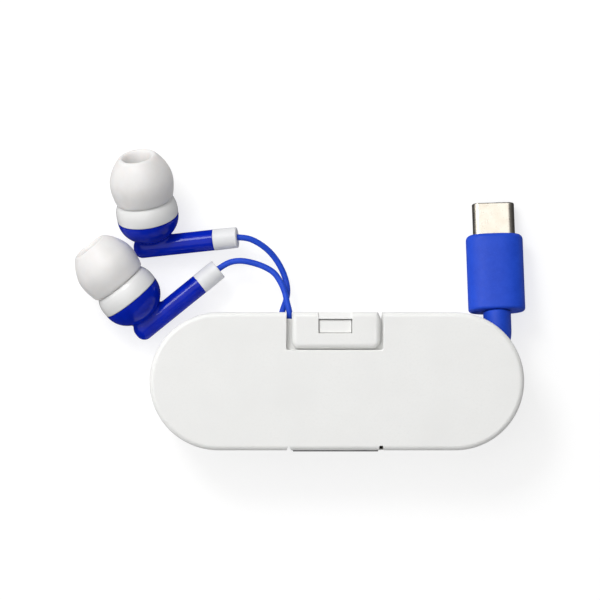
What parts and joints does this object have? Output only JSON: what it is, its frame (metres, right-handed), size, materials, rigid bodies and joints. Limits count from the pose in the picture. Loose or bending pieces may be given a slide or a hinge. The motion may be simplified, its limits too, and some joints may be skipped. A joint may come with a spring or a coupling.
{
  "type": "wired earphones",
  "caption": "Wired in-ear earphones with a USB-C plug, the cord wound inside a flat stadium-shaped clamshell case with a snap latch.",
  "frame": {"origin": "centre of the case's back face, on the surface the case lies on", "axes": "+Z out of the front cover, +X along the case towards the plug, +Y out of the latch edge, where the cords leave"},
  "size_m": [0.089, 0.0598, 0.0162],
  "materials": {
    "shell_white": "satin moulded",
    "silicone": "satin",
    "cap_white": "polished",
    "housing_blue": "polished",
    "cord_blue": "matte",
    "nickel": "bright nickel plate",
    "brass": "gold flash",
    "steel": "plain",
    "film": "clear film",
    "copper": "enamelled wire",
    "board_green": "solder mask",
    "black_plastic": "matte"
  },
  "bodies": {
    "case_tray": {"rear_tray": "shell_white", "cover_hinge_strip": "shell_white", "latch_hinge_strip": "shell_white", "rear_housing_left": "housing_blue", "front_cap_left": "cap_white", "nozzle_mesh_left": "steel", "diaphragm_left": "film", "voice_coil_left": "copper", "driver_frame_left": "steel", "magnet_left": "nickel", "terminal_board_left": "board_green", "stem_collar_left": "cap_white", "rear_housing_right": "housing_blue", "front_cap_right": "cap_white", "nozzle_mesh_right": "steel", "diaphragm_right": "film", "voice_coil_right": "copper", "driver_frame_right": "steel", "magnet_right": "nickel", "terminal_board_right": "board_green", "stem_collar_right": "cap_white", "plug_overmold": "cord_blue", "plug_shell": "nickel", "plug_insulator": "black_plastic", "contact_row_upper": "brass", "contact_row_lower": "brass", "plug_board": "board_green", "audio_chip": "black_plastic", "plug_strain_relief": "cord_blue", "ear_cord_left": "cord_blue", "ear_cord_right": "cord_blue", "ear_cord_coil": "cord_blue", "ear_cord_left_tail": "cord_blue", "ear_cord_right_tail": "cord_blue", "y_splitter": "cord_blue", "main_cord_coil": "cord_blue", "main_cord_tail": "cord_blue"},
    "cover": {"front_cover": "shell_white"},
    "latch": {"latch_tab": "shell_white"},
    "tip_left": {"ear_tip_left": "silicone"},
    "tip_right": {"ear_tip_right": "silicone"}
  },
  "joints": [
    {"name": "cover_hinge", "type": "hinge", "parent": "case_tray", "child": "cover", "pos_m": [0, -0.0137, 0.01], "axis": [1, 0, 0], "range_deg": [0, 180], "deforming": ["cover_hinge_strip"]},
    {"name": "latch_hinge", "type": "hinge", "parent": "case_tray", "child": "latch", "pos_m": [0, 0.01335, 0.0093], "axis": [-1, 0, 0], "range_deg": [0, 110], "deforming": ["latch_hinge_strip"]},
    {"name": "ear_tip_left_pull", "type": "slide", "parent": "case_tray", "child": "tip_left", "axis": [-0.1586, 0.8997, 0.4067], "range_m": [0, 0.008]},
    {"name": "ear_tip_right_pull", "type": "slide", "parent": "case_tray", "child": "tip_right", "axis": [-0.6216, 0.7676, 0.1564], "range_m": [0, 0.008]}
  ]
}
